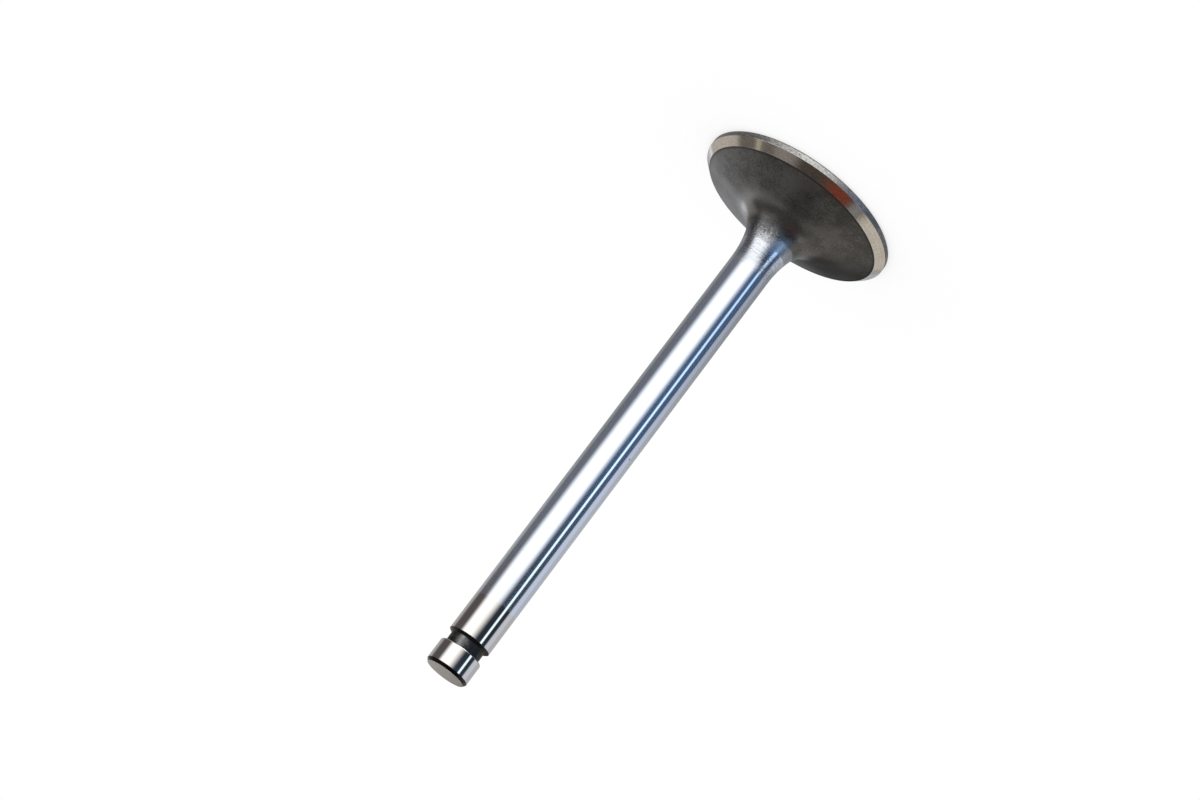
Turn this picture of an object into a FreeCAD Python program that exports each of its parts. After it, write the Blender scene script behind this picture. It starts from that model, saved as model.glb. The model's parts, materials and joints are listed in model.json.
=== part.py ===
import FreeCAD, Part
import math
import os

# Engine valve, one piece: a forged and ground poppet valve.
# It stands on its head: the combustion face lies on z = 0, centred on the origin,
# and the stem rises along +Z to the tip. Lengths are in millimetres, angles in degrees.
# The whole form is one outline in the XZ plane, turned about the Z axis.

# Whole valve
OVERALL_LENGTH = 126.0
HEAD_DIAMETER = 44.8
STEM_DIAMETER = 9.45

# Rim and seat, from the combustion face upwards
FACE_EDGE_CHAMFER = 0.35
MARGIN_HEIGHT = 1.5
SEAT_WIDTH = 1.6
SEAT_ANGLE = 45.0

# Back of the head: a shallow cone, then a tight throat arc, then a long neck arc into the stem.
# Both angles are the slope of the outline: the cone's from the head plane,
# and the one where the two arcs meet from the stem's direction.
BACK_CONE_ANGLE = 20.0
THROAT_RADIUS = 8.0
NECK_RADIUS = 25.0
NECK_TURN = 15.0

# Lock groove, with the land between its wall and the tip
LAND_LENGTH = 5.3
LAND_EDGE_RADIUS = 0.25
GROOVE_WIDTH = 2.8
GROOVE_DEPTH = 0.86
GROOVE_WALL_FILLET = 0.2
GROOVE_SHOULDER_ANGLE = 55.0
GROOVE_SHOULDER_FILLET = 0.4

# Tip: its chamfer is taller than it is deep
TIP_CHAMFER_HEIGHT = 0.58
TIP_CHAMFER_DEPTH = 0.45

# Directions in the plane of the outline, counted from +X towards +Z
OUTWARD = 0.0
UPWARD = 90.0
INWARD = 180.0
DOWNWARD = 270.0
FULL_TURN = 360.0

ORIGIN = FreeCAD.Vector(0.0, 0.0, 0.0)
AXIS = FreeCAD.Vector(0.0, 0.0, 1.0)


def point(radius, height):
    """A point of the outline, by its distance from the axis and its height."""
    return FreeCAD.Vector(radius, 0.0, height)


def heading(direction):
    """The unit vector that points in a direction of the outline's plane."""
    turn = math.radians(direction)
    return point(math.cos(turn), math.sin(turn))


class Outline:
    """Half of the valve's section, drawn edge by edge from the middle of the combustion face."""

    def __init__(self, start):
        self.here = start
        self.edges = []

    def line_to(self, end):
        """Adds a straight edge to a point."""
        self.edges.append(Part.LineSegment(self.here, end).toShape())
        self.here = end

    def arc_about(self, centre, start_direction, end_direction):
        """Adds an arc, from one direction out of its centre to another."""
        radius = (self.here - centre).Length
        middle_direction = (start_direction + end_direction) / 2
        middle = centre + heading(middle_direction) * radius
        end = centre + heading(end_direction) * radius
        self.edges.append(Part.Arc(self.here, middle, end).toShape())
        self.here = end

    def turned(self):
        """The solid that the closed outline sweeps about the axis."""
        self.line_to(ORIGIN)
        section = Part.Face(Part.Wire(self.edges))
        return section.revolve(ORIGIN, AXIS, FULL_TURN)


def draw_rim(outline):
    """The combustion face, its chamfered edge, the straight margin and the conical seat."""
    rim = HEAD_DIAMETER / 2
    seat_rise = SEAT_WIDTH * math.tan(math.radians(SEAT_ANGLE))
    outline.line_to(point(rim - FACE_EDGE_CHAMFER, 0.0))
    outline.line_to(point(rim, FACE_EDGE_CHAMFER))
    outline.line_to(point(rim, MARGIN_HEIGHT))
    outline.line_to(point(rim - SEAT_WIDTH, MARGIN_HEIGHT + seat_rise))


def draw_back(outline):
    """The back cone, the throat and the neck, each tangent to the next, up to the stem."""
    joint = INWARD + NECK_TURN
    throat_end = DOWNWARD - BACK_CONE_ANGLE

    # The arcs are placed from the stem: their centres lie on one line through the joint.
    neck_centre = point(STEM_DIAMETER / 2 + NECK_RADIUS, 0.0)
    throat_centre = neck_centre + heading(joint) * (NECK_RADIUS - THROAT_RADIUS)
    cone_top = throat_centre + heading(throat_end) * THROAT_RADIUS

    # The cone then sets how high they stand above the seat's inner edge.
    seat_edge = outline.here
    cone_rise = (seat_edge.x - cone_top.x) * math.tan(math.radians(BACK_CONE_ANGLE))
    lift = AXIS * (seat_edge.z + cone_rise - cone_top.z)

    outline.line_to(cone_top + lift)
    outline.arc_about(throat_centre + lift, throat_end, joint)
    outline.arc_about(neck_centre + lift, joint, INWARD)


def draw_stem(outline):
    """The straight stem, up to the shoulder of the lock groove."""
    shoulder_edge = OVERALL_LENGTH - LAND_LENGTH - GROOVE_WIDTH
    outline.line_to(point(STEM_DIAMETER / 2, shoulder_edge))


def draw_groove(outline):
    """The lock groove: a sloped shoulder, a round floor, a flat wall and the land's eased edge."""
    stem = STEM_DIAMETER / 2
    floor = stem - GROOVE_DEPTH
    wall_height = OVERALL_LENGTH - LAND_LENGTH
    slope = math.radians(GROOVE_SHOULDER_ANGLE)

    shoulder_foot = outline.here.z + GROOVE_DEPTH / math.tan(slope)
    fillet_top = shoulder_foot + GROOVE_SHOULDER_FILLET * math.tan(slope / 2)
    shoulder_centre = point(floor + GROOVE_SHOULDER_FILLET, fillet_top)
    fillet_start = INWARD + GROOVE_SHOULDER_ANGLE
    outline.line_to(shoulder_centre + heading(fillet_start) * GROOVE_SHOULDER_FILLET)
    outline.arc_about(shoulder_centre, fillet_start, INWARD)

    wall_centre = point(floor + GROOVE_WALL_FILLET, wall_height - GROOVE_WALL_FILLET)
    outline.line_to(point(floor, wall_centre.z))
    outline.arc_about(wall_centre, INWARD, UPWARD)

    edge_centre = point(stem - LAND_EDGE_RADIUS, wall_height + LAND_EDGE_RADIUS)
    outline.line_to(point(edge_centre.x, wall_height))
    outline.arc_about(edge_centre, -UPWARD, OUTWARD)


def draw_tip(outline):
    """The land, its chamfer and the flat end that the rocker bears on."""
    stem = STEM_DIAMETER / 2
    outline.line_to(point(stem, OVERALL_LENGTH - TIP_CHAMFER_HEIGHT))
    outline.line_to(point(stem - TIP_CHAMFER_DEPTH, OVERALL_LENGTH))
    outline.line_to(point(0.0, OVERALL_LENGTH))


def make_valve():
    """The whole valve as one turned solid."""
    outline = Outline(ORIGIN)
    draw_rim(outline)
    draw_back(outline)
    draw_stem(outline)
    draw_groove(outline)
    draw_tip(outline)
    return outline.turned()


os.makedirs("parts", exist_ok=True)
valve = make_valve()
valve.exportStep("parts/engine_valve.step")
print(f"engine_valve: {valve.Volume:.1f} mm3, box {valve.BoundBox}, valid {valve.isValid()}")
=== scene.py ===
import json
import logging
import math
from dataclasses import dataclass, field
from enum import Enum
from typing import Union

import bpy
from mathutils import Matrix, Vector


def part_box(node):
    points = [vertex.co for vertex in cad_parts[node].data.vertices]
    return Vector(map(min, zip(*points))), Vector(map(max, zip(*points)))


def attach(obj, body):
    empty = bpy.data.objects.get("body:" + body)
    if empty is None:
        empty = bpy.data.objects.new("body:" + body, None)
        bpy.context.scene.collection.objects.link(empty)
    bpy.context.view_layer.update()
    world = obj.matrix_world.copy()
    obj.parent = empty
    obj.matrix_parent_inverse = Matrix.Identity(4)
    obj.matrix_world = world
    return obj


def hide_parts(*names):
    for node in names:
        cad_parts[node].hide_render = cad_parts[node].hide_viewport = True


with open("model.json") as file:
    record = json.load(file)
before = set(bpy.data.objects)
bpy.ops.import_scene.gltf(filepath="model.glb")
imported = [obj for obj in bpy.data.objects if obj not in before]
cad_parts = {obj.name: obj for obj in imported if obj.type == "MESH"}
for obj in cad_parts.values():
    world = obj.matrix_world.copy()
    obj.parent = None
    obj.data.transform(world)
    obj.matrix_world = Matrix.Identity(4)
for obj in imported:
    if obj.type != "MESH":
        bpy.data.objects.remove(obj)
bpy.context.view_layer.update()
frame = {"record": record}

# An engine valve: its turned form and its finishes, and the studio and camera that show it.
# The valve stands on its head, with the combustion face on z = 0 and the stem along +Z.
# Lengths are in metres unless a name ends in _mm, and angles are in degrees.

LOG = logging.getLogger("engine_valve")
VALVE_NODE = "engine_valve"
VALVE_BODY = "root"
STEM_MOUNT = "stem"
MM = 0.001
MM_PER_METRE = 1000.0

Colour = tuple[float, float, float]
Pair = tuple[float, float]
Value = Union["Socket", float]
Tint = Union["Socket", Colour]


def opaque(colour: Tint) -> Union["Socket", tuple[float, float, float, float]]:
    """A colour with full alpha, or a link as it is."""
    return colour if isinstance(colour, Socket) else (*colour, 1.0)


class Socket:
    """An output of a node, with Python's operators standing for Math nodes."""

    def __init__(self, graph: "Graph", output: bpy.types.NodeSocket) -> None:
        """Wraps an output socket of a graph."""
        self.graph = graph
        self.output = output

    def sibling(self, name: str) -> "Socket":
        """Another output of the same node."""
        return Socket(self.graph, self.output.node.outputs[name])

    def _math(self, operation: str, first: Value, second: Value) -> "Socket":
        """A Math node on two values."""
        return self.graph.node("ShaderNodeMath", {"operation": operation}, {0: first, 1: second})

    def __add__(self, other: Value) -> "Socket":
        """self + other."""
        return self._math("ADD", self, other)

    def __radd__(self, other: Value) -> "Socket":
        """other + self."""
        return self._math("ADD", other, self)

    def __sub__(self, other: Value) -> "Socket":
        """self - other."""
        return self._math("SUBTRACT", self, other)

    def __rsub__(self, other: Value) -> "Socket":
        """other - self."""
        return self._math("SUBTRACT", other, self)

    def __mul__(self, other: Value) -> "Socket":
        """self * other."""
        return self._math("MULTIPLY", self, other)

    def __rmul__(self, other: Value) -> "Socket":
        """other * self."""
        return self._math("MULTIPLY", other, self)

    def __truediv__(self, other: Value) -> "Socket":
        """self / other."""
        return self._math("DIVIDE", self, other)

    def __rtruediv__(self, other: Value) -> "Socket":
        """other / self."""
        return self._math("DIVIDE", other, self)

    def __mod__(self, other: Value) -> "Socket":
        """The remainder of self / other."""
        return self._math("MODULO", self, other)

    def __pow__(self, other: Value) -> "Socket":
        """self raised to other."""
        return self._math("POWER", self, other)


class Graph:
    """A node tree that is built by expressions."""

    def __init__(self, tree: bpy.types.NodeTree) -> None:
        """Wraps a tree and empties it."""
        self.tree = tree
        self.tree.nodes.clear()

    def node(
        self,
        kind: str,
        settings: dict[str, object] | None = None,
        inputs: dict[str | int, object] | None = None,
        output: str | int = 0,
    ) -> Socket | None:
        """Adds a node.

        Args:
            kind: The node's type.
            settings: Its properties, set before its sockets.
            inputs: Values or links, by the socket's name or index.
            output: The output to return.

        Returns:
            The output, or None if the node has none.
        """
        made = self.tree.nodes.new(kind)
        for name, value in (settings or {}).items():
            setattr(made, name, value)
        for name, value in (inputs or {}).items():
            if isinstance(value, Socket):
                self.tree.links.new(value.output, made.inputs[name])
            else:
                made.inputs[name].default_value = value
        return Socket(self, made.outputs[output]) if made.outputs else None

    def unary(self, operation: str, value: Value) -> Socket:
        """A Math node on one value."""
        return self.node("ShaderNodeMath", {"operation": operation}, {0: value})

    def ease(self, value: Value, low: Value, high: Value) -> Socket:
        """A smooth step from 0 at low to 1 at high."""
        return self.node(
            "ShaderNodeMapRange",
            {"interpolation_type": "SMOOTHSTEP"},
            {"Value": value, "From Min": low, "From Max": high},
        )

    def edge(self, value: Value, middle: Value, width: Value) -> Socket:
        """A smooth step from 0 to 1 about a middle."""
        return self.ease(value, middle - width / 2, middle + width / 2)

    def window(self, value: Value, ends: Pair, softness: Pair) -> Socket:
        """1 between two ends, which have soft edges, and 0 outside."""
        return self.edge(value, ends[0], softness[0]) * (1 - self.edge(value, ends[1], softness[1]))

    def blend(self, factor: Value, first: Tint, second: Tint) -> Socket:
        """A colour between two others."""
        colours = {0: factor, 6: opaque(first), 7: opaque(second)}
        return self.node("ShaderNodeMix", {"data_type": "RGBA"}, colours, 2)

    def stretched(self, place: Socket, scale: Colour) -> Socket:
        """A place with its axes scaled apart."""
        return self.node("ShaderNodeVectorMath", {"operation": "MULTIPLY"}, {0: place, 1: scale})

    def noise(self, place: Socket, size: Value, detail: float = 2.0, harshness: float = 0.5) -> Socket:
        """Noise from 0 to 1.

        Args:
            place: The place, in the unit of size.
            size: The width of its largest blobs.
            detail: Its octaves beyond the first.
            harshness: How strong those octaves are.

        Returns:
            The noise's value.
        """
        sockets = {"Vector": place, "Scale": 1 / size, "Detail": detail, "Roughness": harshness}
        return self.node("ShaderNodeTexNoise", {}, sockets)

    def sway(self, place: Socket, size: Value, detail: float = 2.0, harshness: float = 0.5) -> Socket:
        """The same noise from -0.5 to 0.5."""
        return self.noise(place, size, detail, harshness) - 0.5


class Surface(Enum):
    """The stretches of the valve's outline that are finished apart."""

    FACE = 0
    RIM = 1
    SEAT = 2
    STEM = 3
    GROOVE = 4
    TIP_EDGE = 5
    TIP = 6


@dataclass(frozen=True)
class Corner:
    """A corner of the outline, with its round and the surface of the run that starts there."""

    radius: float
    height: float
    round: float
    surface: Surface

    @property
    def place(self) -> Vector:
        """The corner as a point of the outline's plane."""
        return Vector((self.radius, self.height))


@dataclass
class Form:
    """The valve's sizes. The main ones are worked out from the frame."""

    overall_length: float
    head_diameter: float
    stem_diameter: float
    face_edge_chamfer: float = 0.35 * MM
    margin_height: float = 1.5 * MM
    seat_width: float = 1.6 * MM
    seat_angle: float = 45.0
    back_cone_angle: float = 20.0
    throat_radius: float = 8.0 * MM
    neck_radius: float = 25.0 * MM
    neck_turn: float = 15.0
    land_length: float = 5.3 * MM
    land_edge_radius: float = 0.25 * MM
    groove_width: float = 2.8 * MM
    groove_depth: float = 0.86 * MM
    groove_wall_fillet: float = 0.2 * MM
    groove_shoulder_angle: float = 55.0
    groove_shoulder_fillet: float = 0.4 * MM
    tip_chamfer_height: float = 0.58 * MM
    tip_chamfer_depth: float = 0.45 * MM
    edge_break: float = 0.05 * MM
    tip_edge_break: float = 0.06 * MM
    tip_edge_lap: float = 0.12 * MM

    @classmethod
    def from_frame(cls) -> "Form":
        """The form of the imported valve."""
        low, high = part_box(VALVE_NODE)
        mounts = {mount["name"]: mount for mount in frame["record"]["mounts"]}
        stem_radius = mounts[STEM_MOUNT]["dims"]["r_mm"] * MM
        return cls(high.z - low.z, max(high.x - low.x, high.y - low.y), 2 * stem_radius)

    @property
    def seat_edge(self) -> Vector:
        """Where the seat meets the back of the head."""
        rise = self.seat_width * math.tan(math.radians(self.seat_angle))
        return Vector((self.head_diameter / 2 - self.seat_width, self.margin_height + rise))

    def corners(self) -> list[Corner]:
        """The outline's corners, from the middle of the combustion face to the middle of the tip."""
        rim = self.head_diameter / 2
        return [
            Corner(0.0, 0.0, 0.0, Surface.FACE),
            Corner(rim - self.face_edge_chamfer, 0.0, self.edge_break, Surface.RIM),
            Corner(rim, self.face_edge_chamfer, self.edge_break, Surface.RIM),
            Corner(rim, self.margin_height, self.edge_break, Surface.SEAT),
            Corner(*self.seat_edge, self.edge_break, Surface.STEM),
            *self._neck_corners(),
            *self._groove_corners(),
            *self._tip_corners(),
        ]

    def _neck_corners(self) -> list[Corner]:
        """The throat and the neck, whose rounds meet on the leg between their corners."""
        turn = math.radians(self.neck_turn)
        cone = math.radians(self.back_cone_angle)
        throat_turn = math.pi / 2 - cone - turn
        leg = self.neck_radius * math.tan(turn / 2) + self.throat_radius * math.tan(throat_turn / 2)
        stem = self.stem_diameter / 2
        throat_at = stem + leg * math.sin(turn)
        throat_height = self.seat_edge.y + (self.seat_edge.x - throat_at) * math.tan(cone)
        return [
            Corner(throat_at, throat_height, self.throat_radius, Surface.STEM),
            Corner(stem, throat_height + leg * math.cos(turn), self.neck_radius, Surface.STEM),
        ]

    @property
    def neck_top(self) -> float:
        """The height at which the neck runs out into the straight stem."""
        corner = self._neck_corners()[1]
        return corner.height + self.neck_radius * math.tan(math.radians(self.neck_turn) / 2)

    def _groove_corners(self) -> list[Corner]:
        """The lock groove: shoulder edge, shoulder foot, wall foot and the land's edge."""
        stem = self.stem_diameter / 2
        floor = stem - self.groove_depth
        wall = self.overall_length - self.land_length
        shoulder_edge = wall - self.groove_width
        shoulder_rise = self.groove_depth / math.tan(math.radians(self.groove_shoulder_angle))
        return [
            Corner(stem, shoulder_edge, self.edge_break, Surface.GROOVE),
            Corner(floor, shoulder_edge + shoulder_rise, self.groove_shoulder_fillet, Surface.GROOVE),
            Corner(floor, wall, self.groove_wall_fillet, Surface.GROOVE),
            Corner(stem, wall, self.land_edge_radius, Surface.STEM),
        ]

    def _tip_corners(self) -> list[Corner]:
        """The tip's chamfer and its flat end."""
        stem = self.stem_diameter / 2
        top = self.overall_length
        chamfer_foot = top - self.tip_chamfer_height
        return [
            Corner(stem, chamfer_foot - self.tip_edge_lap, 0.0, Surface.TIP_EDGE),
            Corner(stem, chamfer_foot, self.tip_edge_break, Surface.TIP_EDGE),
            Corner(stem - self.tip_chamfer_depth, top, self.edge_break, Surface.TIP),
            Corner(0.0, top, 0.0, Surface.TIP),
        ]


@dataclass
class Ring:
    """One ring of the turned mesh, with the surface of the band that follows it."""

    place: Vector
    surface: Surface


@dataclass
class Outline:
    """Half of the valve's section as a fine chain of rings."""

    corners: list[Corner]
    arc_step: float = 0.25 * MM
    arc_turn: float = 12.0
    run_step: float = 2.5 * MM
    cone_step: float = 0.35 * MM
    support: float = 0.03 * MM
    shortest_run: float = 0.09 * MM

    def rings(self) -> list[Ring]:
        """The rings from the first corner to the last."""
        chain = [Ring(self.corners[0].place, self.corners[0].surface)]
        for before, corner, after in zip(self.corners, self.corners[1:], self.corners[2:]):
            arc = self._round(before, corner, after)
            self._run(chain, arc[0], before.surface)
            chain += [Ring(place, corner.surface) for place in arc]
        self._run(chain, self.corners[-1].place, self.corners[-2].surface)
        chain.append(Ring(self.corners[-1].place, self.corners[-1].surface))
        return chain

    def _round(self, before: Corner, corner: Corner, after: Corner) -> list[Vector]:
        """The places along a corner's round, from its start to its end."""
        if corner.round == 0.0:
            return [corner.place]
        inward = (corner.place - before.place).normalized()
        onward = (after.place - corner.place).normalized()
        turn = math.atan2(inward.cross(onward), inward.dot(onward))
        start = corner.place - inward * corner.round * math.tan(abs(turn) / 2)
        side = math.copysign(1.0, turn)
        centre = start + Vector((-inward.y, inward.x)) * corner.round * side
        length = corner.round * abs(turn)
        steps = math.ceil(max(length / self.arc_step, math.degrees(abs(turn)) / self.arc_turn))
        return [
            centre + Matrix.Rotation(turn * step / steps, 2) @ (start - centre)
            for step in range(steps + 1)
        ]

    def _run(self, chain: list[Ring], end: Vector, surface: Surface) -> None:
        """Adds the rings of a straight run, up to but without its end, with one close to each end."""
        start = chain[-1].place
        run = end - start
        if run.length < self.shortest_run:
            return
        along = run.normalized()
        sloped = surface is Surface.STEM and abs(run.x) > self.run_step
        step = self.cone_step if sloped else self.run_step
        count = max(1, math.ceil(run.length / step))
        chain.append(Ring(start + along * self.support, surface))
        chain += [Ring(start + run * part / count, surface) for part in range(1, count)]
        chain.append(Ring(end - along * self.support, surface))


@dataclass(frozen=True)
class Lathe:
    """Turns an outline about the Z axis with Geometry Nodes, and gives its surfaces their finishes."""

    segments: int = 360
    relief_height: float = 0.02 * MM
    relief_size: float = 4.0 * MM
    merge_distance: float = 0.0005 * MM

    def tree(self, materials: dict[Surface, bpy.types.Material]) -> bpy.types.NodeTree:
        """The node tree that turns the outline.

        Args:
            materials: The finish of each surface.

        Returns:
            The tree, with its sizes as named inputs.
        """
        tree = bpy.data.node_groups.new("turned_valve", "GeometryNodeTree")
        sockets = {
            "Outline": "NodeSocketGeometry",
            "Segments": "NodeSocketInt",
            "Relief Height": "NodeSocketFloat",
            "Relief Size": "NodeSocketFloat",
        }
        for name, kind in sockets.items():
            tree.interface.new_socket(name, in_out="INPUT", socket_type=kind)
        tree.interface.new_socket("Valve", in_out="OUTPUT", socket_type="NodeSocketGeometry")
        graph = Graph(tree)
        outline = graph.node("NodeGroupInput", output="Outline")
        segments = outline.sibling("Segments")
        turned = self._turn(graph, outline, segments)
        turned = self._roughen(graph, turned, outline)
        for surface, material in materials.items():
            turned = self._finish(graph, turned, surface, material)
        turned = graph.node("GeometryNodeRealizeInstances", {}, {"Geometry": turned})
        graph.node("NodeGroupOutput", {}, {0: turned})
        return tree

    def _sample(
        self, graph: Graph, outline: Socket, kind: str, domain: str, what: Socket, index: Socket
    ) -> Socket:
        """What the outline holds at an index."""
        settings = {"data_type": kind, "domain": domain}
        sockets = {"Geometry": outline, "Value": what, "Index": index}
        return graph.node("GeometryNodeSampleIndex", settings, sockets)

    def _named(self, graph: Graph, name: str, kind: str) -> Socket:
        """A named attribute of the geometry at hand."""
        return graph.node("GeometryNodeInputNamedAttribute", {"data_type": kind}, {"Name": name})

    def _store(
        self, graph: Graph, turned: Socket, kind: str, domain: str, name: str, value: Socket
    ) -> Socket:
        """Keeps a value on the geometry as a named attribute."""
        settings = {"data_type": kind, "domain": domain}
        sockets = {"Geometry": turned, "Name": name, "Value": value}
        return graph.node("GeometryNodeStoreNamedAttribute", settings, sockets)

    def _turn(self, graph: Graph, outline: Socket, segments: Socket) -> Socket:
        """Bends a grid, one row for each ring, round the axis."""
        rings = graph.node("GeometryNodeAttributeDomainSize", {}, {"Geometry": outline}, "Point Count")
        sockets = {"Vertices X": segments + 1, "Vertices Y": rings}
        grid = graph.node("GeometryNodeMeshGrid", {}, sockets, "Mesh")
        index = graph.node("GeometryNodeInputIndex")
        ring = index % rings
        band = index % (rings - 1)
        column = graph.unary("FLOOR", (index + 0.5) / rings)
        bent = self._bend(graph, outline, ring, column / segments * (2 * math.pi))
        relief = self._sample(graph, outline, "FLOAT", "POINT", self._named(graph, "relief", "FLOAT"), ring)
        surface = self._sample(graph, outline, "INT", "EDGE", self._named(graph, "surface", "INT"), band)
        turned = graph.node("GeometryNodeSetPosition", {}, {"Geometry": grid, "Position": bent})
        turned = self._store(graph, turned, "INT", "FACE", "surface", surface)
        turned = self._store(graph, turned, "FLOAT", "POINT", "relief", relief)
        turned = self._store(graph, turned, "FLOAT2", "CORNER", "UVMap", grid.sibling("UV Map"))
        closed = {"Geometry": turned, "Distance": self.merge_distance}
        turned = graph.node("GeometryNodeMergeByDistance", {}, closed)
        return graph.node("GeometryNodeSetShadeSmooth", {}, {0: turned})

    def _bend(self, graph: Graph, outline: Socket, ring: Socket, turn: Socket) -> Socket:
        """The place of a ring after a turn about the axis, in radians."""
        position = graph.node("GeometryNodeInputPosition")
        place = self._sample(graph, outline, "FLOAT_VECTOR", "POINT", position, ring)
        radius = graph.node("ShaderNodeSeparateXYZ", {}, {0: place}, "X")
        parts = {
            "X": radius * graph.unary("COSINE", turn),
            "Y": radius * graph.unary("SINE", turn),
            "Z": radius.sibling("Z"),
        }
        return graph.node("ShaderNodeCombineXYZ", {}, parts)

    def _roughen(self, graph: Graph, turned: Socket, outline: Socket) -> Socket:
        """Gives the forged skin its low, soft unevenness."""
        height = outline.sibling("Relief Height")
        place = graph.node("GeometryNodeInputPosition")
        unevenness = graph.sway(place, outline.sibling("Relief Size"))
        lift = unevenness * 2 * height * self._named(graph, "relief", "FLOAT")
        offset = graph.node(
            "ShaderNodeVectorMath",
            {"operation": "SCALE"},
            {0: graph.node("GeometryNodeInputNormal"), "Scale": lift},
        )
        return graph.node("GeometryNodeSetPosition", {}, {"Geometry": turned, "Offset": offset})

    def _finish(self, graph: Graph, turned: Socket, surface: Surface, material: bpy.types.Material) -> Socket:
        """Gives one surface its material."""
        chosen = graph.node(
            "FunctionNodeCompare",
            {"data_type": "INT", "operation": "EQUAL"},
            {2: self._named(graph, "surface", "INT"), 3: surface.value},
        )
        return graph.node(
            "GeometryNodeSetMaterial", {}, {"Geometry": turned, "Selection": chosen, "Material": material}
        )


@dataclass(frozen=True)
class Place:
    """A point of the valve's surface in millimetres, also by its place along +X, height and radius."""

    point: Socket
    along_x: Socket
    height: Socket
    radius: Socket

    @classmethod
    def of(cls, graph: Graph) -> "Place":
        """The place that a material is shading."""
        scale = (MM_PER_METRE, MM_PER_METRE, MM_PER_METRE)
        point = graph.stretched(graph.node("ShaderNodeTexCoord", output="Object"), scale)
        x = graph.node("ShaderNodeSeparateXYZ", {}, {0: point}, "X")
        y = x.sibling("Y")
        return cls(point, x, x.sibling("Z"), (x * x + y * y) ** 0.5)


@dataclass
class Looks:
    """What a finish feeds to the shader. The relief is in millimetres."""

    colour: Tint
    roughness: Value
    metallic: Value
    relief: Socket


@dataclass(frozen=True)
class Pit:
    """A tiny dark nick in the steel, by its azimuth from +X, its radius and its height."""

    azimuth: float
    radius_mm: float
    height_mm: float
    width_mm: float = 0.36
    depth_mm: float = 0.04
    core_share: float = 0.4
    colour: Colour = (0.03, 0.028, 0.026)

    def mark(self, graph: Graph, place: Place, looks: Looks) -> Looks:
        """The looks with the nick in them."""
        turn = math.radians(self.azimuth)
        middle = (self.radius_mm * math.cos(turn), self.radius_mm * math.sin(turn), self.height_mm)
        ends = {0: place.point, 1: middle}
        distance = graph.node("ShaderNodeVectorMath", {"operation": "DISTANCE"}, ends, "Value")
        reach = self.width_mm / 2
        nick = 1 - graph.ease(distance, reach * self.core_share, reach)
        colour = graph.blend(nick, looks.colour, self.colour)
        return Looks(colour, looks.roughness, looks.metallic, looks.relief - nick * self.depth_mm)


@dataclass(frozen=True)
class Finish:
    """A finish of the valve's steel, with the nicks in it."""

    name: str
    pits: tuple[Pit, ...] = field(default=(), kw_only=True)

    def looks(self, graph: Graph, place: Place) -> Looks:
        """How the finish looks at a place."""
        raise NotImplementedError

    def material(self) -> bpy.types.Material:
        """The finish as a material."""
        material = bpy.data.materials.new(self.name)
        material.use_nodes = True
        graph = Graph(material.node_tree)
        place = Place.of(graph)
        looks = self.looks(graph, place)
        for pit in self.pits:
            looks = pit.mark(graph, place, looks)
        bump = {"Distance": MM, "Height": looks.relief}
        sockets = {
            "Base Color": opaque(looks.colour),
            "Roughness": looks.roughness,
            "Metallic": looks.metallic,
            "Normal": graph.node("ShaderNodeBump", {}, bump),
        }
        shader = graph.node("ShaderNodeBsdfPrincipled", {}, sockets)
        graph.node("ShaderNodeOutputMaterial", {}, {"Surface": shader})
        return material


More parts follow.
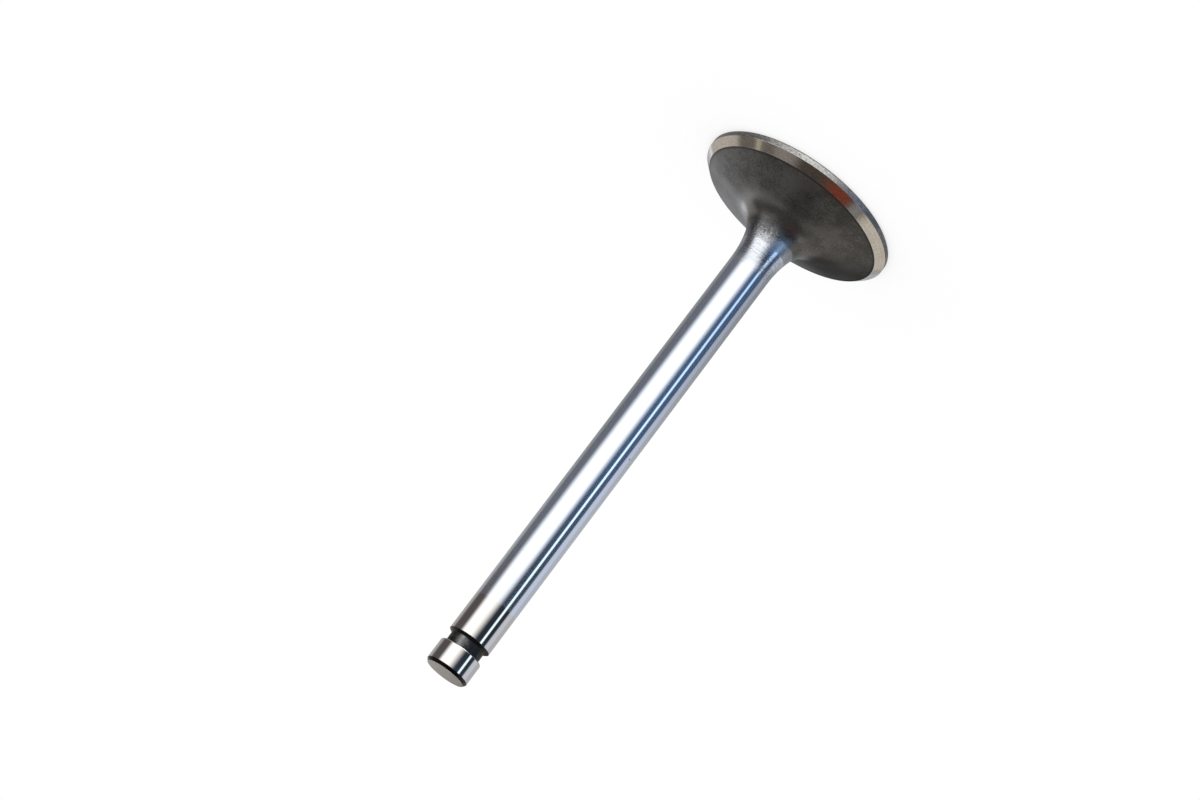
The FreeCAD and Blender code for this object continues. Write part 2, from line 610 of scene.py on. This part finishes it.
@dataclass(frozen=True)
class StemFinish(Finish):
    """The long surface: bare ground end, plated stem, polished neck, satin ring and forged skin.

    The satin ring was lapped further on its +X side, which leaves a ragged edge there. A pair of
    lengths of the skin's edge is its length elsewhere and what is added to it there. Roughness
    and metallic are the plated stem's, and those of the other stretches are added to them.
    """

    plating_top_mm: float
    neck_top_mm: float
    seat_edge_mm: float
    bare: Colour = (0.80, 0.775, 0.745)
    plated: Colour = (0.77, 0.82, 0.89)
    polished: Colour = (0.67, 0.69, 0.73)
    streaked: Colour = (0.40, 0.42, 0.47)
    satin: Colour = (0.40, 0.41, 0.43)
    satin_foot: Colour = (0.32, 0.325, 0.335)
    skin_dark: Colour = (0.080, 0.080, 0.082)
    skin_light: Colour = (0.158, 0.159, 0.164)
    # Painted light: the colour of the throat's +X side, lighter where the light falls.
    painted_throat_light: Colour = (0.315, 0.325, 0.34)
    roughness: float = 0.09
    bare_roughness: float = -0.025
    polished_roughness: float = 0.06
    satin_roughness: float = 0.12
    skin_roughness: float = 0.05
    # Roughness added where the throat's +X side is painted lighter.
    throat_light_roughness: float = -0.12
    metallic: float = 0.96
    bare_metallic: float = 0.04
    polished_metallic: float = 0.02
    skin_metallic: float = -0.04
    plating_fade_mm: float = 0.16
    plating_wander_mm: float = 0.3
    polish_rise_mm: float = 0.2
    polish_fade_mm: float = 3.0
    polish_wander_mm: float = 4.0
    streak_range: Pair = (0.45, 0.75)
    polish_foot_mm: float = 13.8
    satin_fade_mm: float = 0.3
    satin_speckle_mm: float = 0.5
    satin_wander_mm: float = 0.4
    lapped_mm: Pair = (-2.5, 0.5)
    skin_top_mm: Pair = (11.5, 0.7)
    skin_fade_mm: Pair = (0.5, 2.2)
    skin_speckle_mm: Pair = (0.6, 8.0)
    skin_wander_mm: float = 0.8
    blotch_range: Pair = (0.34, 0.66)
    skin_grain_share: float = 0.7
    # Painted shade: a thin dark band along the seat's edge, by its height, fade, share and tone.
    seat_shade_height_mm: float = 0.16
    seat_shade_fade_mm: float = 0.14
    seat_shade_share: float = 0.6
    seat_shade_tone: float = 0.3
    # Heights, fades and steps of the painted light on the throat's +X side.
    throat_light_heights_mm: Pair = (6.7, 9.4)
    throat_light_fades_mm: Pair = (1.5, 1.4)
    throat_light_steps: tuple[tuple[Pair, float], ...] = (
        ((-9.0, -4.0), 0.3),
        ((-3.0, 3.0), 0.2),
        ((7.0, 9.4), 0.3),
    )
    wheel_depth_mm: float = 0.0008
    belt_depth_mm: float = 0.012
    polish_grain_depth_mm: float = 0.03
    skin_grain_depth_mm: float = 0.018

    def looks(self, graph: Graph, place: Place) -> Looks:
        """Lays the five stretches over each other, from the tip down to the seat."""
        bare = self._bare(graph, place)
        belt = self._belt(graph, place)
        polished = self._polished(graph, place, belt)
        satin, skin = self._blends(graph, place)
        # Painted light on the throat's +X side; its mask also lowers the roughness there.
        painted_throat_light = self._throat_light_mask(graph, place)
        colour = graph.blend(bare, self.plated, self.bare)
        streaked = graph.blend(graph.ease(belt, *self.streak_range), self.polished, self.streaked)
        colour = graph.blend(polished, colour, streaked)
        rise = graph.ease(place.height, self.skin_top_mm[0], self.polish_foot_mm)
        colour = graph.blend(satin, colour, graph.blend(rise, self.satin_foot, self.satin))
        colour = graph.blend(skin, colour, self._skin_colour(graph, place, painted_throat_light))
        roughness = self.roughness + bare * self.bare_roughness + polished * self.polished_roughness
        skin_roughness = self.skin_roughness + painted_throat_light * self.throat_light_roughness
        roughness = roughness + satin * self.satin_roughness + skin * skin_roughness
        metallic = self.metallic + bare * self.bare_metallic + polished * self.polished_metallic
        metallic = metallic + skin * self.skin_metallic
        return Looks(colour, roughness, metallic, self._relief(graph, place, polished, belt, skin))

    def _bare(self, graph: Graph, place: Place) -> Socket:
        """The end of the stem that isn't plated."""
        wander = graph.sway(place.point, size=5.0) * self.plating_wander_mm
        return graph.edge(place.height + wander, self.plating_top_mm, self.plating_fade_mm)

    def _belt(self, graph: Graph, place: Place) -> Socket:
        """The polishing belt's streaks, which run round the neck."""
        drawn = graph.stretched(place.point, scale=(0.35, 0.35, 3.0))
        return graph.noise(drawn, size=0.7, detail=3.0, harshness=0.6)

    def _polished(self, graph: Graph, place: Place, belt: Socket) -> Socket:
        """The polished neck and what lies below it. Its upper edge follows the belt's streaks."""
        wander = (belt - 0.5) * self.polish_wander_mm
        top = self.neck_top_mm + self.polish_rise_mm
        return 1 - graph.edge(place.height + wander, top, self.polish_fade_mm)

    def _blends(self, graph: Graph, place: Place) -> tuple[Socket, Socket]:
        """The masks of the satin ring and of the skin below it, whose edge is ragged where lapped further."""
        lapped = graph.ease(place.along_x, *self.lapped_mm)
        flattened = graph.stretched(place.point, scale=(1.0, 1.0, 1.4))
        speckle = graph.sway(flattened, size=0.45, detail=3.0, harshness=0.7)
        wander = graph.sway(place.point, size=3.0)
        frayed = speckle * self.satin_speckle_mm + wander * self.satin_wander_mm
        satin = 1 - graph.edge(place.height + frayed, self.polish_foot_mm, self.satin_fade_mm)
        top, fade, reach = (
            length + lapped * more
            for length, more in (self.skin_top_mm, self.skin_fade_mm, self.skin_speckle_mm)
        )
        ragged = speckle * reach + wander * self.skin_wander_mm
        return satin, 1 - graph.edge(place.height + ragged, top, fade)

    def _skin_colour(self, graph: Graph, place: Place, painted_throat_light: Socket) -> Socket:
        """The forged skin: blotched and grainy, with painted light on the throat's +X side and painted shade
        along the seat's edge.
        """
        blotch = graph.noise(place.point, size=6.0, detail=5.0, harshness=0.62)
        grain = graph.sway(place.point, size=0.35) * self.skin_grain_share
        colour = graph.blend(graph.ease(blotch + grain, *self.blotch_range), self.skin_dark, self.skin_light)
        # Painted light: the throat's +X side is tinted lighter.
        colour = graph.blend(painted_throat_light, colour, self.painted_throat_light)
        # Painted shade: the skin is darkened along the seat's edge.
        seat_edge_shade = 1 - graph.edge(place.height, self.seat_edge_mm + self.seat_shade_height_mm, self.seat_shade_fade_mm)
        dim = tuple(channel * self.seat_shade_tone for channel in self.skin_dark)
        return graph.blend(seat_edge_shade * self.seat_shade_share, colour, dim)

    def _throat_light_mask(self, graph: Graph, place: Place) -> Socket:
        """Painted light: the throat is painted lighter on its +X side, where the light falls, and is made
        smoother there.
        """
        share = sum(graph.ease(place.along_x, *span) * step for span, step in self.throat_light_steps)
        return graph.window(place.height, self.throat_light_heights_mm, self.throat_light_fades_mm) * share

    def _relief(self, graph: Graph, place: Place, polished: Socket, belt: Socket, skin: Socket) -> Socket:
        """Fine rings of the grinding wheel, the polishing belt's streaks and the grain of the forged skin."""
        drawn = graph.stretched(place.point, scale=(0.2, 0.2, 4.0))
        rings = graph.noise(drawn, size=1.0, detail=3.0) * self.wheel_depth_mm
        polish_grain = graph.noise(place.point, size=0.35) * self.polish_grain_depth_mm
        streaks = (belt * self.belt_depth_mm + polish_grain) * polished
        skin_grain = graph.noise(place.point, size=0.5, detail=4.0, harshness=0.6)
        return (rings + streaks) * (1 - skin) + skin_grain * skin * self.skin_grain_depth_mm


@dataclass(frozen=True)
class TurnedFinish(Finish):
    """A turned or ground face with fine rings about the axis."""

    colour: Colour
    roughness: float
    ring_mm: float = 0.15
    ring_depth_mm: float = 0.0015
    metallic: float = 1.0
    grain_mm: float = 0.3
    grain_share: float = 0.4
    cloud_mm: float = 3.0
    cloud_share: float = 0.5
    unevenness: float = 0.4
    tone_range: Pair = (0.2, 0.8)
    dimming: float = 0.86

    def looks(self, graph: Graph, place: Place) -> Looks:
        """Rings by radius and height, with a slightly uneven polish and a fine grain."""
        across = graph.node("ShaderNodeCombineXYZ", {}, {"X": place.radius, "Y": place.height})
        rings = graph.noise(across, self.ring_mm)
        cloud = graph.sway(place.point, self.cloud_mm)
        grain = graph.sway(place.point, self.grain_mm)
        roughness = self.roughness + cloud * self.roughness * self.unevenness
        tone = graph.ease(rings + cloud * self.cloud_share + grain * self.grain_share, *self.tone_range)
        dim = tuple(channel * self.dimming for channel in self.colour)
        colour = graph.blend(tone, dim, self.colour)
        return Looks(colour, roughness, self.metallic, rings * self.ring_depth_mm)


@dataclass(frozen=True)
class OxideFinish(Finish):
    """The dark oxide left in the lock groove, with a painted highlight stripe on its floor."""

    shoulder_top_mm: float
    shoulder: Colour = (0.022, 0.022, 0.023)
    dark: Colour = (0.03, 0.03, 0.032)
    # The light colour is that of the painted highlight stripe.
    light: Colour = (0.36, 0.36, 0.365)
    roughness: float = 0.34
    unevenness: float = 0.1
    metallic: float = 0.85
    # Where the painted highlight stripe lies along +X, and its soft edges.
    highlight_stripe_mm: Pair = (1.0, 1.8)
    highlight_stripe_fades_mm: Pair = (2.6, 2.6)
    tone_range: Pair = (0.5, 1.5)
    shoulder_fade_mm: float = 0.2
    grain_depth_mm: float = 0.006

    def looks(self, graph: Graph, place: Place) -> Looks:
        """A blotched dark skin with a painted highlight stripe towards +X, black on the shoulder."""
        blotch = graph.noise(place.point, size=1.2, detail=3.0)
        # Painted highlight: a lighter stripe along the groove's floor.
        highlight_stripe = graph.window(place.along_x, self.highlight_stripe_mm, self.highlight_stripe_fades_mm)
        colour = graph.blend(graph.ease(blotch + highlight_stripe, *self.tone_range), self.dark, self.light)
        floor = graph.edge(place.height, self.shoulder_top_mm, self.shoulder_fade_mm)
        colour = graph.blend(floor, self.shoulder, colour)
        roughness = self.roughness + blotch * self.unevenness
        grain = graph.noise(place.point, size=0.3, detail=3.0) * self.grain_depth_mm
        return Looks(colour, roughness, self.metallic, grain)


@dataclass
class Valve:
    """The valve: one turned piece, dressed surface by surface."""

    form: Form
    lathe: Lathe = field(default_factory=Lathe)
    bare_length: float = 16.7 * MM
    shoulder_rise: float = 0.5 * MM
    relief_foot: float = 0.5 * MM
    relief_top: float = 12.0 * MM
    relief_fade: float = 2.0 * MM

    def finishes(self) -> dict[Surface, Finish]:
        """The finish of each surface."""
        form = self.form
        stem = form.stem_diameter / 2 / MM
        plating_top = (form.overall_length - self.bare_length) / MM
        shoulder_top = (form.overall_length - form.land_length - form.groove_width + self.shoulder_rise) / MM
        stem_nicks = (
            Pit(azimuth=-19.5, radius_mm=stem, height_mm=65.8),
            Pit(azimuth=-141.9, radius_mm=stem, height_mm=68.8),
        )
        rim_nick = Pit(azimuth=-74.4, radius_mm=form.head_diameter / 2 / MM, height_mm=0.82)
        heights = (plating_top, form.neck_top / MM, form.seat_edge.y / MM)
        return {
            Surface.FACE: TurnedFinish(
                "turned_face", (0.60, 0.595, 0.58), roughness=0.24, ring_mm=0.25, ring_depth_mm=0.003
            ),
            Surface.RIM: TurnedFinish(
                "turned_rim", (0.54, 0.53, 0.52), roughness=0.33,
                grain_mm=0.45, grain_share=1.4, dimming=0.55, pits=(rim_nick,),
            ),
            Surface.SEAT: TurnedFinish(
                "ground_seat", (0.77, 0.75, 0.72), roughness=0.14,
                grain_mm=0.4, grain_share=1.2, dimming=0.76,
            ),
            Surface.STEM: StemFinish("stem_and_back", *heights, pits=stem_nicks),
            Surface.GROOVE: OxideFinish("groove_oxide", shoulder_top),
            Surface.TIP_EDGE: TurnedFinish(
                "tip_edge", (0.025, 0.025, 0.024), roughness=0.26, ring_depth_mm=0.0002
            ),
            Surface.TIP: TurnedFinish("ground_tip", (0.665, 0.63, 0.565), roughness=0.28, grain_mm=0.5),
        }

    def build(self) -> bpy.types.Object:
        """Turns the valve, dresses it and sets it in the frame."""
        materials = {surface: finish.material() for surface, finish in self.finishes().items()}
        outline = self._outline_object()
        shape = outline.modifiers.new("turn", "NODES")
        shape.node_group = self.lathe.tree(materials)
        sizes = {
            "Segments": self.lathe.segments,
            "Relief Height": self.lathe.relief_height,
            "Relief Size": self.lathe.relief_size,
        }
        for item in shape.node_group.interface.items_tree:
            if item.in_out == "INPUT" and item.name in sizes:
                shape[item.identifier] = sizes[item.name]
        valve = self._plain_copy(outline, "valve")
        bpy.data.objects.remove(outline)
        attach(valve, VALVE_BODY)
        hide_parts(VALVE_NODE)
        LOG.info("%s: %d faces", valve.name, len(valve.data.polygons))
        return valve

    def _outline_object(self) -> bpy.types.Object:
        """The outline as a chain of edges, with the attributes that the lathe reads."""
        rings = Outline(self.form.corners()).rings()
        mesh = bpy.data.meshes.new("outline")
        edges = [(index, index + 1) for index in range(len(rings) - 1)]
        mesh.from_pydata([(ring.place.x, 0.0, ring.place.y) for ring in rings], edges, [])
        surface = mesh.attributes.new("surface", "INT", "EDGE")
        surface.data.foreach_set("value", [ring.surface.value for ring in rings[:-1]])
        relief = mesh.attributes.new("relief", "FLOAT", "POINT")
        relief.data.foreach_set("value", [self._relief_at(ring) for ring in rings])
        outline = bpy.data.objects.new("outline", mesh)
        bpy.context.scene.collection.objects.link(outline)
        return outline

    def _relief_at(self, ring: Ring) -> float:
        """How strongly the forged skin's unevenness shows at a ring."""
        if ring.surface is not Surface.STEM:
            return 0.0
        above_seat = (ring.place.y - self.form.seat_edge.y) / self.relief_foot
        below_polish = (self.relief_top - ring.place.y) / self.relief_fade
        return max(0.0, min(1.0, above_seat, below_polish))

    @staticmethod
    def _plain_copy(source: bpy.types.Object, name: str) -> bpy.types.Object:
        """The evaluated source as a plain mesh at the origin."""
        depsgraph = bpy.context.evaluated_depsgraph_get()
        mesh = bpy.data.meshes.new_from_object(source.evaluated_get(depsgraph), depsgraph=depsgraph)
        mesh.name = name
        copy = bpy.data.objects.new(name, mesh)
        bpy.context.scene.collection.objects.link(copy)
        return copy


@dataclass(frozen=True)
class Gaze:
    """A direction as seen from the valve, in degrees.

    Azimuth is counted from -Y towards -X, and elevation from the floor's plane upwards.
    The drift is the elevation above the level that the middle of the stem mirrors, within a reach.
    """

    azimuth: Socket
    elevation: Socket
    drift: Socket

    @classmethod
    def of(cls, graph: Graph, level: float, reach: Pair) -> "Gaze":
        """The direction that the world is shading."""
        direction = graph.node("ShaderNodeTexCoord", output="Generated")
        x = graph.node("ShaderNodeSeparateXYZ", {}, {0: direction}, "X")
        turn = graph.node("ShaderNodeMath", {"operation": "ARCTAN2"}, {0: x * -1, 1: x.sibling("Y") * -1})
        elevation = graph.unary("DEGREES", graph.unary("ARCSINE", x.sibling("Z")))
        limits = {"Value": elevation - level, "Min": reach[0], "Max": reach[1]}
        return cls(graph.unary("DEGREES", turn), elevation, graph.node("ShaderNodeClamp", {}, limits))


@dataclass(frozen=True)
class Card:
    """A soft-edged card of the studio, by the directions that it fills.

    Each side may lean, by some degrees of azimuth for a degree of drift,
    and the colour may change into another one towards the card's foot.
    """

    name: str
    azimuth: Pair
    elevation: Pair
    colour: Colour
    soft_sides: Pair = (6.0, 6.0)
    soft_ends: Pair = (8.0, 8.0)
    lean: Pair = (0.0, 0.0)
    foot: Colour | None = None
    fade: Pair = (-23.0, -16.0)

    def mask(self, graph: Graph, gaze: Gaze) -> Socket:
        """1 where the card is seen and 0 elsewhere."""
        opens = graph.edge(gaze.azimuth - gaze.drift * self.lean[0], self.azimuth[0], self.soft_sides[0])
        closes = graph.edge(gaze.azimuth - gaze.drift * self.lean[1], self.azimuth[1], self.soft_sides[1])
        return opens * (1 - closes) * graph.window(gaze.elevation, self.elevation, self.soft_ends)

    def tone(self, graph: Graph, gaze: Gaze) -> Tint:
        """The card's colour at a height."""
        if self.foot is None:
            return self.colour
        return graph.blend(graph.ease(gaze.elevation, *self.fade), self.foot, self.colour)


# A card's numbers are its azimuths, its elevations, its colour, its soft sides and its soft ends.
# A card further down the list covers those above it.
STUDIO_CARDS = [
    Card("back loft", (110.0, 200.0), (44.0, 76.0), (0.27, 0.255, 0.20), (14.0, 1.0), (8.0, 14.0)),
    Card("left back loft", (-200.0, -122.0), (44.0, 74.0), (0.29, 0.275, 0.24), (1.0, 14.0), (8.0, 14.0)),
    Card(
        "left wall", (-200.0, -118.0), (-95.0, 4.0), (0.45, 0.45, 0.45), (1.0, 40.0),
        foot=(0.29, 0.29, 0.285), fade=(-19.2, -13.4),
    ),
    Card("left tan wall", (-200.0, -112.0), (2.0, 30.0), (0.56, 0.51, 0.45), (1.0, 14.0), (8.0, 8.0)),
    Card("left tan wall top", (-200.0, -142.0), (22.0, 46.0), (0.66, 0.62, 0.57), (1.0, 16.0), (10.0, 14.0)),
    Card("left back glow", (-200.0, -157.0), (-10.0, 30.0), (0.63, 0.63, 0.65), (1.0, 14.0), (8.0, 14.0)),
    Card("left back core", (-167.0, -155.0), (-4.0, 11.0), (1.20, 1.20, 1.22), (5.0, 6.0), (5.0, 8.0)),
    Card(
        "left flag", (-119.5, -30.0), (-95.0, 14.0), (0.10, 0.088, 0.094), (34.0, 10.0), (1.0, 16.0),
        foot=(0.138, 0.143, 0.170), fade=(-15.2, -14.0),
    ),
    Card("left loft", (-78.0, -41.0), (20.0, 62.0), (0.28, 0.25, 0.23), (14.0, 16.0), (14.0, 10.0)),
    Card("left loft shade", (-114.0, -78.0), (20.0, 54.0), (0.16, 0.14, 0.12), (12.0, 14.0), (14.0, 10.0)),
    Card("left lamp", (-98.0, -93.0), (40.0, 45.0), (0.66, 0.58, 0.44), (3.0, 3.0), (3.0, 3.0)),
    Card("tan wall", (80.0, 200.0), (2.0, 50.0), (0.63, 0.58, 0.50), (14.0, 1.0), (8.0, 12.0)),
    Card(
        "right wall", (81.5, 200.0), (-95.0, 2.0), (0.49, 0.50, 0.52), (12.0, 1.0),
        lean=(-0.9, 0.0), foot=(0.27, 0.27, 0.28),
    ),
    Card(
        "right glow", (81.5, 112.0), (-95.0, 2.0), (0.62, 0.66, 0.75), (10.0, 16.0),
        lean=(-0.9, 0.0), foot=(0.36, 0.39, 0.45),
    ),
    Card("right back flag", (156.0, 200.0), (-1.0, 29.0), (0.06, 0.06, 0.06), (12.0, 1.0), (8.0, 14.0)),
    Card("right back shade", (166.0, 200.0), (-9.0, 1.0), (0.06, 0.06, 0.06), (8.0, 1.0)),
    Card(
        "navy drape", (-20.0, 80.0), (-95.0, 4.0), (0.022, 0.029, 0.039), (1.0, 12.0),
        foot=(0.038, 0.09, 0.19), fade=(-18.5, -13.0),
    ),
    Card("navy drape top", (-20.0, 80.0), (-11.4, 4.0), (0.07, 0.12, 0.22), (1.0, 12.0), (2.4, 12.0)),
    Card("left dusk", (-125.0, -40.0), (-95.0, -24.2), (0.27, 0.25, 0.24), (14.0, 14.0), (1.0, 1.4)),
    Card("right dusk", (0.0, 140.0), (-95.0, -24.2), (0.118, 0.112, 0.122), (14.0, 14.0), (1.0, 1.4)),
    Card("sky sheet", (8.0, 78.0), (2.0, 26.0), (0.42, 0.64, 0.96), (14.0, 14.0), (10.0, 14.0)),
    Card("rim softbox", (-46.0, 25.0), (-95.0, -24.2), (1.45, 1.44, 1.39), (36.0, 33.0), (1.0, 1.4)),
    Card(
        "key softbox", (-65.0, 12.0), (-24.2, -14.0), (1.38, 1.38, 1.38), (36.0, 33.0), (1.4, 0.6),
        lean=(-0.7, -0.5),
    ),
    Card(
        "softbox crown", (-58.0, 2.5), (-14.4, 36.0), (1.85, 1.85, 1.85), (26.0, 46.0), (0.6, 20.0),
        lean=(-1.0, -0.25), foot=(1.38, 1.38, 1.38), fade=(-8.0, 2.0),
    ),
    Card(
        "ice strip", (45.0, 55.6), (-24.2, -8.0), (1.20, 1.42, 1.50), (6.0, 6.0), (1.4, 8.0),
        lean=(0.15, 0.15), foot=(0.72, 1.00, 1.36),
    ),
    Card("ice strip top", (45.0, 57.0), (-11.0, 8.0), (0.75, 1.15, 1.85), (5.0, 6.0), (3.0, 8.0)),
    Card("red panel", (20.0, 63.0), (54.0, 68.0), (0.19, 0.036, 0.016), (42.0, 16.0)),
    Card("right loft", (64.0, 80.0), (48.0, 58.0), (0.26, 0.25, 0.25), (12.0, 8.0)),
]


@dataclass
class Studio:
    """The plain pale floor and the soft light about the valve."""

    cards: list[Card]
    ceiling: Colour = (0.063, 0.050, 0.038)
    light: Colour = (1.0, 1.0, 1.0)
    stem_level: float = -17.5
    lean_reach: Pair = (-6.0, 30.0)
    floor_size: float = 6.0
    floor_colour: Colour = (0.9, 0.9, 0.9)
    floor_glow: float = 1.08
    glow_share: float = 0.6

    def build(self) -> None:
        """Sets the world and lays the floor."""
        self._light_world()
        self._lay_floor()
        LOG.info("studio: %d cards", len(self.cards))

    def _light_world(self) -> None:
        """Plain white light, with the cards where polished metal mirrors them."""
        world = bpy.data.worlds.new("studio")
        world.use_nodes = True
        bpy.context.scene.world = world
        graph = Graph(world.node_tree)
        ray = graph.node("ShaderNodeLightPath", output="Is Glossy Ray")
        colour = graph.blend(ray, self.light, self._surroundings(graph))
        background = graph.node("ShaderNodeBackground", {}, {"Color": colour})
        graph.node("ShaderNodeOutputWorld", {}, {"Surface": background})

    def _surroundings(self, graph: Graph) -> Socket:
        """What the valve mirrors, by direction."""
        gaze = Gaze.of(graph, self.stem_level, self.lean_reach)
        seen = self.ceiling
        for card in self.cards:
            seen = graph.blend(card.mask(graph, gaze), seen, card.tone(graph, gaze))
        return seen

    def _lay_floor(self) -> None:
        """A white sweep that keeps a faint shadow of the valve."""
        half = self.floor_size / 2
        corners = [(-half, -half, 0), (half, -half, 0), (half, half, 0), (-half, half, 0)]
        mesh = bpy.data.meshes.new("floor")
        mesh.from_pydata(corners, [], [(0, 1, 2, 3)])
        floor = bpy.data.objects.new("floor", mesh)
        bpy.context.scene.collection.objects.link(floor)
        floor.visible_glossy = False
        material = bpy.data.materials.new("white_floor")
        material.use_nodes = True
        graph = Graph(material.node_tree)
        matte = graph.node("ShaderNodeBsdfDiffuse", {}, {"Color": opaque(self.floor_colour)})
        glow = graph.node("ShaderNodeEmission", {}, {"Strength": self.floor_glow})
        seen = graph.node("ShaderNodeLightPath", output="Is Camera Ray")
        shader = graph.node("ShaderNodeMixShader", {}, {0: seen * self.glow_share, 1: matte, 2: glow})
        graph.node("ShaderNodeOutputMaterial", {}, {"Surface": shader})
        mesh.materials.append(material)


@dataclass
class PhotoCamera:
    """The camera at the photograph's place: above the head's plane, rolled far over.

    Its pitch is counted from level. A camera that isn't turned looks straight down.
    """

    location: tuple[float, float, float] = (0.0, -0.51783, 0.23542)
    heading: float = -0.924
    pitch: float = -18.563
    roll: float = 217.33
    down_to_level: float = 90.0
    lens_mm: float = 80.4
    sensor_mm: float = 36.0
    clip_start: float = 0.01

    def build(self) -> None:
        """Makes the camera and gives it to the scene."""
        data = bpy.data.cameras.new("photo_camera")
        data.lens = self.lens_mm
        data.sensor_width = self.sensor_mm
        data.clip_start = self.clip_start
        camera = bpy.data.objects.new("photo_camera", data)
        turn = Matrix.Rotation(math.radians(self.heading), 4, "Z")
        tilt = Matrix.Rotation(math.radians(self.down_to_level + self.pitch), 4, "X")
        roll = Matrix.Rotation(math.radians(self.roll), 4, "Z")
        camera.matrix_world = Matrix.Translation(self.location) @ turn @ tilt @ roll
        bpy.context.scene.collection.objects.link(camera)
        bpy.context.scene.camera = camera


def main() -> None:
    """Builds the valve, the studio and the camera."""
    logging.basicConfig(level=logging.INFO, format="%(name)s %(message)s")
    Valve(Form.from_frame()).build()
    Studio(STUDIO_CARDS).build()
    PhotoCamera().build()
    bpy.context.scene.view_settings.view_transform = "Standard"


if __name__ == "__main__":
    main()
